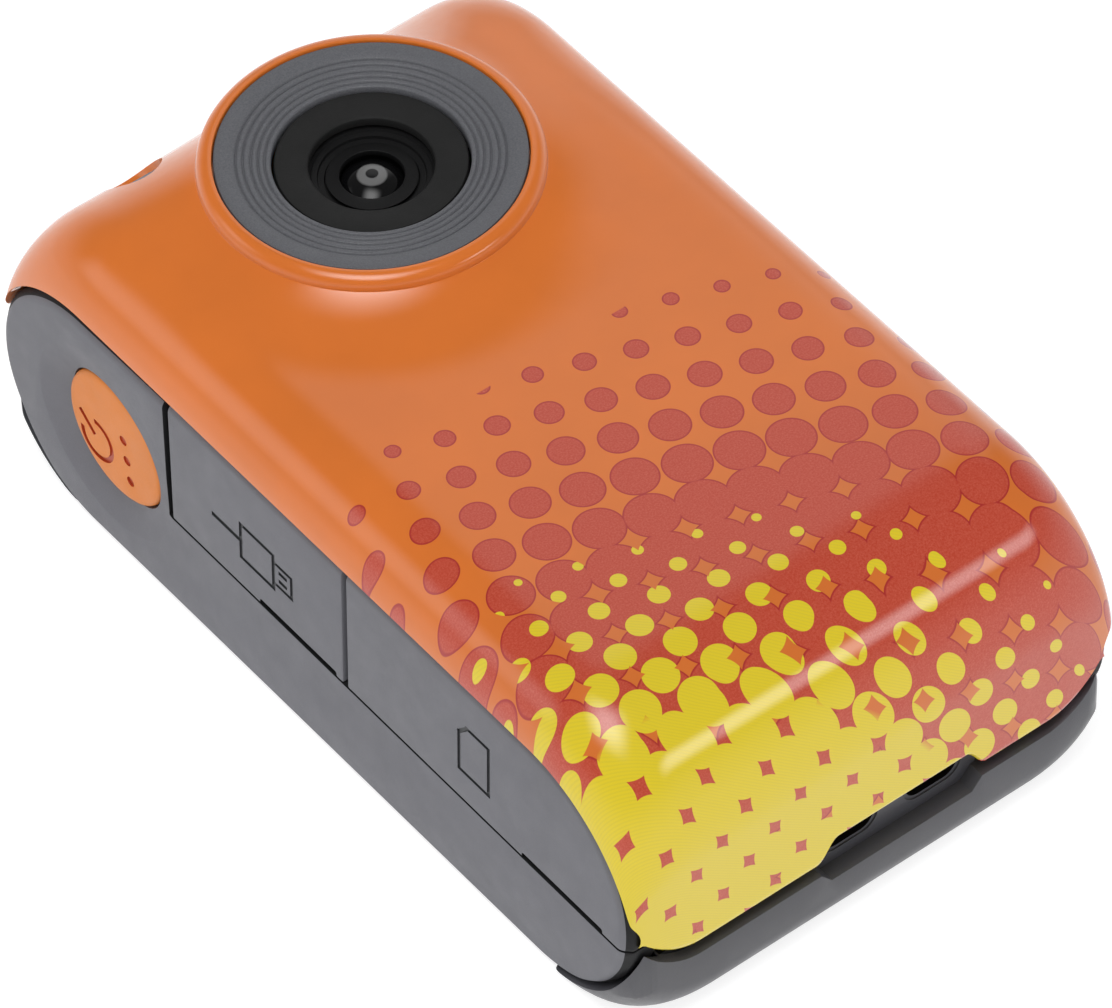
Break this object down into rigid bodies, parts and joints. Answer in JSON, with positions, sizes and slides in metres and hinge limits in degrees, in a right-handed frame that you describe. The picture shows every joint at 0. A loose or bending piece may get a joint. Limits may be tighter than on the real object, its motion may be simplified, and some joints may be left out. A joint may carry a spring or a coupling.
{
  "type": "action camera",
  "caption": "Small flat action camera with a raised lens collar, side flaps over its sockets, push buttons and a rear screen.",
  "frame": {"origin": "centre of the footprint on the flat back face, the face that the camera lies on", "axes": "+Z along the lens axis, out of the front; +Y towards the lens end of the body; +X to the plain side, so the power button and the port flaps are on the -X side"},
  "size_m": [0.0432, 0.0732, 0.0295],
  "materials": {
    "orange_shell": "orange high-gloss plastic with a red and yellow halftone print under a clear film",
    "orange_button": "orange satin plastic with a moulded symbol",
    "grey_panel": "mid-grey fine-textured soft-touch plastic",
    "grey_ring": "mid-grey satin plastic with concentric grooves",
    "dark_case": "dark grey satin plastic",
    "black_plastic": "black satin plastic",
    "black_metal": "black anodised",
    "lens_glass": "coated optical glass",
    "screen_glass": "black gloss window",
    "chip_black": "black epoxy",
    "circuit_board": "green solder mask",
    "bright_metal": "tinned steel",
    "screw_steel": "zinc-plated steel",
    "foil_pouch": "crimped foil"
  },
  "bodies": {
    "camera_body": {"front_shell": "orange_shell", "rear_cover": "dark_case", "shell_gasket": "black_plastic", "strap_anchor": "black_plastic", "left_side_panel": "grey_panel", "right_side_panel": "grey_panel", "lens_trim_ring": "grey_ring", "lens_bezel": "black_plastic", "lens_barrel": "black_plastic", "lens_retaining_ring": "black_metal", "lens_front_element": "lens_glass", "lens_rear_element": "lens_glass", "lens_holder": "black_plastic", "ir_filter": "lens_glass", "image_sensor": "chip_black", "main_board": "circuit_board", "processor": "chip_black", "usb_socket": "bright_metal", "card_socket": "bright_metal", "power_switch": "bright_metal", "shutter_board": "circuit_board", "shutter_switch": "bright_metal", "battery": "foil_pouch", "speaker": "black_plastic", "microphone": "bright_metal", "key_board": "circuit_board", "lcd_module": "chip_black", "screen_window": "screen_glass", "menu_key_switch": "bright_metal", "up_key_switch": "bright_metal", "down_key_switch": "bright_metal", "case_screw_1": "screw_steel", "case_screw_2": "screw_steel", "case_screw_3": "screw_steel", "case_screw_4": "screw_steel", "board_screw_1": "screw_steel", "board_screw_2": "screw_steel"},
    "usb_flap_body": {"usb_flap": "grey_panel"},
    "card_flap_body": {"card_flap": "grey_panel"},
    "power_button_body": {"power_button": "orange_button"},
    "shutter_button_body": {"shutter_button": "grey_panel"},
    "menu_key_body": {"menu_key": "orange_button"},
    "up_key_body": {"up_key": "orange_button"},
    "down_key_body": {"down_key": "orange_button"}
  },
  "joints": [
    {"name": "usb_flap_hinge", "type": "hinge", "parent": "camera_body", "child": "usb_flap_body", "pos_m": [-0.0216, 0.01575, 0.0155], "axis": [0, 0, -1], "range_deg": [0, 110]},
    {"name": "card_flap_hinge", "type": "hinge", "parent": "camera_body", "child": "card_flap_body", "pos_m": [-0.0216, -0.00475, 0.0155], "axis": [0, 0, -1], "range_deg": [0, 110]},
    {"name": "power_press", "type": "slide", "parent": "camera_body", "child": "power_button_body", "axis": [1, 0, 0], "range_m": [0, 0.0003], "stiffness_N_per_m": 900},
    {"name": "shutter_press", "type": "slide", "parent": "camera_body", "child": "shutter_button_body", "axis": [0, -1, 0], "range_m": [0, 0.0004], "stiffness_N_per_m": 900},
    {"name": "menu_key_press", "type": "slide", "parent": "camera_body", "child": "menu_key_body", "axis": [0, 0, 1], "range_m": [0, 0.0003], "stiffness_N_per_m": 900},
    {"name": "up_key_press", "type": "slide", "parent": "camera_body", "child": "up_key_body", "axis": [0, 0, 1], "range_m": [0, 0.0003], "stiffness_N_per_m": 900},
    {"name": "down_key_press", "type": "slide", "parent": "camera_body", "child": "down_key_body", "axis": [0, 0, 1], "range_m": [0, 0.0003], "stiffness_N_per_m": 900}
  ]
}
